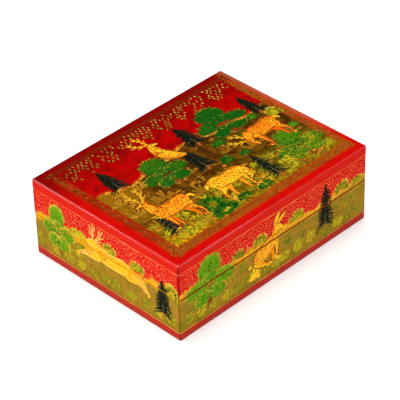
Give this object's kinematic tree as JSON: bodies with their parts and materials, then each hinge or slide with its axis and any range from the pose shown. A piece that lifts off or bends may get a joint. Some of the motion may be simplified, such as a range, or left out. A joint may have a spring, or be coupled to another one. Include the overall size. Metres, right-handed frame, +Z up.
{
  "type": "kashmiri papier mache box",
  "caption": "Rectangular hinged trinket box: board trays wrapped in papier mache, painted with a forest and deer scene under gloss lacquer, with a deep lid on brass butt hinges.",
  "frame": {"origin": "centre of the base's underside, on the surface that the box stands on", "axes": "+X along the long side, towards the end that is at the right when the front faces you; +Y from the front to the hinged back; +Z up"},
  "size_m": [0.1753, 0.1344, 0.06],
  "materials": {
    "painted_skin": "gloss lacquer over a painted forest scene in red, green, ochre and gold",
    "underside_paper": "satin lacquer, plain",
    "black_lining": "satin black lacquer on paper",
    "box_wood": "planed pale softwood, unfinished",
    "hinge_brass": "polished, lightly tarnished",
    "brad_steel": "bright drawn wire"
  },
  "bodies": {
    "base": {"base_back_board": "box_wood", "base_brads": "brad_steel", "base_floor_board": "box_wood", "base_floor_lining": "black_lining", "base_front_board": "box_wood", "base_hinge_nails": "hinge_brass", "base_left_board": "box_wood", "base_right_board": "box_wood", "base_skin": "painted_skin", "base_underside_sheet": "underside_paper", "base_wall_lining": "black_lining", "left_hinge_base_leaf": "hinge_brass", "left_hinge_pin": "hinge_brass", "right_hinge_base_leaf": "hinge_brass", "right_hinge_pin": "hinge_brass"},
    "lid": {"left_hinge_lid_leaf": "hinge_brass", "lid_back_board": "box_wood", "lid_brads": "brad_steel", "lid_front_board": "box_wood", "lid_hinge_nails": "hinge_brass", "lid_left_board": "box_wood", "lid_right_board": "box_wood", "lid_skin": "painted_skin", "lid_top_board": "box_wood", "lid_top_lining": "black_lining", "lid_wall_lining": "black_lining", "right_hinge_lid_leaf": "hinge_brass"}
  },
  "joints": [
    {"name": "lid_hinge", "type": "hinge", "parent": "base", "child": "lid", "pos_m": [0, 0.06595, 0.0323], "axis": [-1, 0, 0], "range_deg": [0, 105]}
  ]
}
